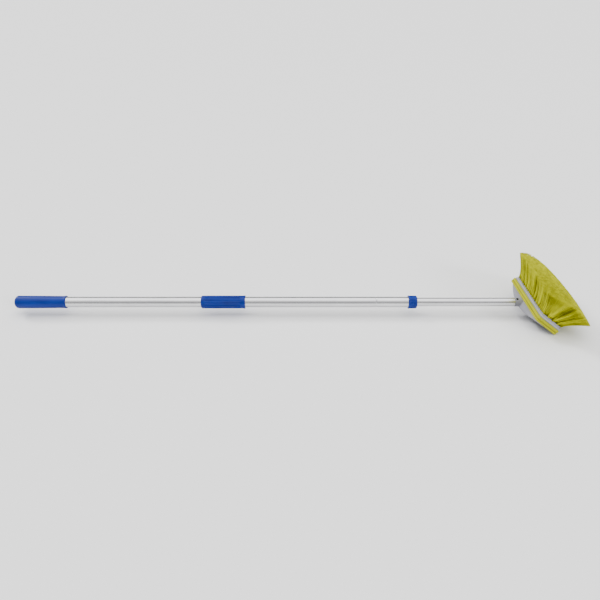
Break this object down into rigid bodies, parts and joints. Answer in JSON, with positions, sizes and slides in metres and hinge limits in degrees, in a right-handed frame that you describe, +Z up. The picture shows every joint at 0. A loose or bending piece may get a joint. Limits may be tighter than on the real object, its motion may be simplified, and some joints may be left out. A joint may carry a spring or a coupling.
{
  "type": "telescopic wash brush",
  "caption": "Telescopic aluminium pole with plastic grips and a turning lock collar, and an angled wash brush head with a soft bumper and splayed bristles, held by a press button.",
  "frame": {"origin": "under the middle of the whole brush at the height of its lowest bristle tip", "axes": "+X along the pole from the butt grip towards the head, +Y along the block, +Z up, away from the side that the bristles' trailing edge hangs to"},
  "size_m": [1.331, 0.2108, 0.1163],
  "materials": {
    "satin_aluminium": "satin drawn tube",
    "blue_grip": "moulded, fine grain",
    "grey_moulding": "moulded",
    "dark_plastic": "moulded",
    "white_nylon": "moulded nylon",
    "black_button": "moulded",
    "spring_steel": "rolled strip",
    "yellow_bumper": "soft, matt",
    "yellow_bristle": "flagged tips"
  },
  "bodies": {
    "outer_section": {"outer_tube": "satin_aluminium", "butt_grip": "blue_grip", "butt_plug": "dark_plastic", "mid_grip": "blue_grip", "split_collet": "dark_plastic"},
    "lock_collar": {"lock_collar": "blue_grip"},
    "inner_section": {"inner_tube": "satin_aluminium", "rear_plug": "dark_plastic", "guide_ring": "white_nylon", "tip_plug": "grey_moulding", "button_spring": "spring_steel", "brush_block": "grey_moulding", "bumper": "yellow_bumper", "bristles_far_end": "yellow_bristle", "bristles_far": "yellow_bristle", "bristles_middle": "yellow_bristle", "bristles_near": "yellow_bristle", "bristles_near_end": "yellow_bristle"},
    "snap_button": {"snap_button": "black_button"}
  },
  "joints": [
    {"name": "tube_slide", "type": "slide", "parent": "outer_section", "child": "inner_section", "axis": [1, 0, 0], "range_m": [-0.2336, 0.5894]},
    {"name": "collar_turn", "type": "hinge", "parent": "outer_section", "child": "lock_collar", "pos_m": [0.28689, 0.0057, 0.03038], "axis": [1, 0, 0], "range_deg": [0, 90]},
    {"name": "button_press", "type": "slide", "parent": "inner_section", "child": "snap_button", "axis": [0, 0.2079, -0.9781], "range_m": [0, 0.0034], "stiffness_N_per_m": 600, "springref_m": -0.002, "deforming": ["button_spring"]}
  ]
}
